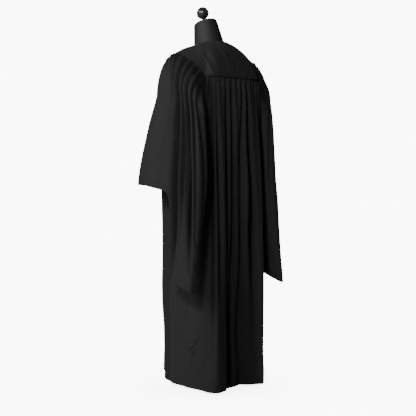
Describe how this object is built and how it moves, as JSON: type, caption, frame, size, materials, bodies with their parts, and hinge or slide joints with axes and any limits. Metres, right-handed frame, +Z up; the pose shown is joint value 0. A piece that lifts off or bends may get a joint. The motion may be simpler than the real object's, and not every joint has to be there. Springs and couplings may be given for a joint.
{
  "type": "graduation gown on a limbless dress form",
  "caption": "Black open-front graduation gown with a smooth yoke, a gathered back and long hanging bell sleeves, on a limbless dress form with a ball finial",
  "frame": {"origin": "the middle of the underside of the stand's round foot, on the surface that the part stands on", "axes": "+Z is up; the wearer faces -Y, so the gathered back faces +Y; the wearer's left sleeve is at +X"},
  "size_m": [0.4999, 0.3441, 1.4007],
  "materials": {
    "gown_cloth": "matte woven black cloth with a soft sheen",
    "form_jersey": "matte knitted cover",
    "neck_lacquer": "satin black lacquer",
    "finial_gloss": "gloss black",
    "stand_enamel": "satin black enamel"
  },
  "bodies": {
    "root": {"yoke": "gown_cloth", "back_panel": "gown_cloth", "left_front": "gown_cloth", "right_front": "gown_cloth", "left_sleeve": "gown_cloth", "right_sleeve": "gown_cloth", "form_torso": "form_jersey", "neck_cap": "neck_lacquer", "finial": "finial_gloss", "pole": "stand_enamel", "foot": "stand_enamel"}
  },
  "joints": []
}
